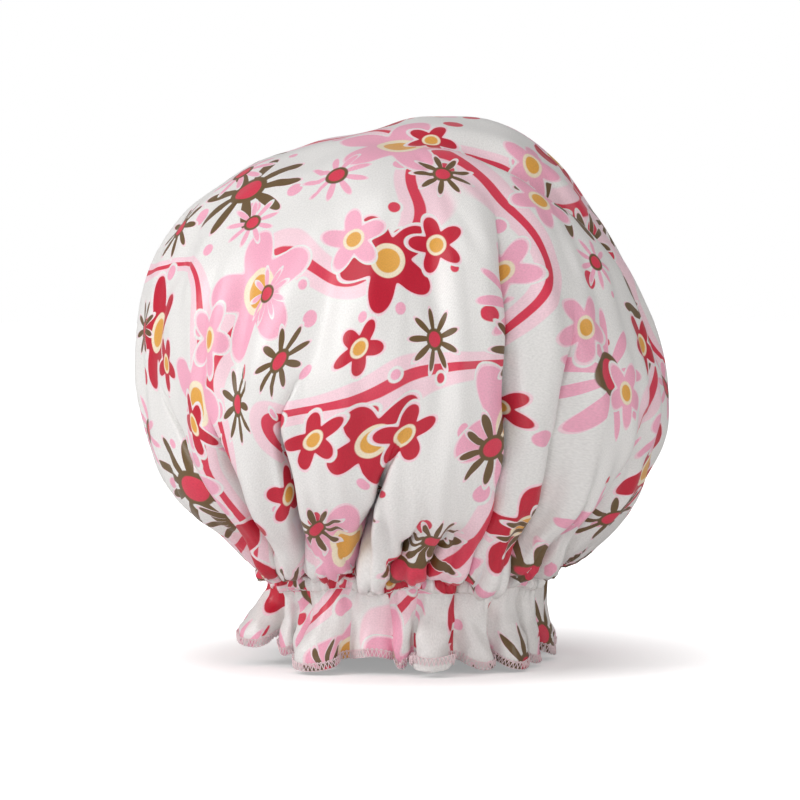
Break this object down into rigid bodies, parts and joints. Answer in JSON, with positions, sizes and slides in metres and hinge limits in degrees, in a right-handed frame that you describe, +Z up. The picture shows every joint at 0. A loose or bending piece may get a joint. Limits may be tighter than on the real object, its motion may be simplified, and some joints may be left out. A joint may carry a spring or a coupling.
{
  "type": "shower cap",
  "caption": "Puffed satin shower cap with a waterproof film liner, gathered by a hidden elastic above a fluted frill with an overlocked edge.",
  "frame": {"origin": "middle of the bounding box at floor level, where the hem of the frill rests", "axes": "+Z up through the crown's top, -Y the front as pictured, +X the picture's right"},
  "size_m": [0.2002, 0.1986, 0.2067],
  "materials": {
    "satin": "printed polyester satin, soft sheen, duller wrong side",
    "liner_film": "thin milky waterproof film, soft gloss",
    "elastic": "braided elastic, matt",
    "white_thread": "spun sewing thread",
    "pink_thread": "textured overlock thread, pale pink"
  },
  "bodies": {
    "root": {"satin_crown": "satin", "satin_frill": "satin", "waterproof_liner": "liner_film", "elastic_band": "elastic", "elastic_tack": "white_thread", "upper_channel_stitching": "white_thread", "lower_channel_stitching": "white_thread", "hem_overlock": "pink_thread"}
  },
  "joints": []
}
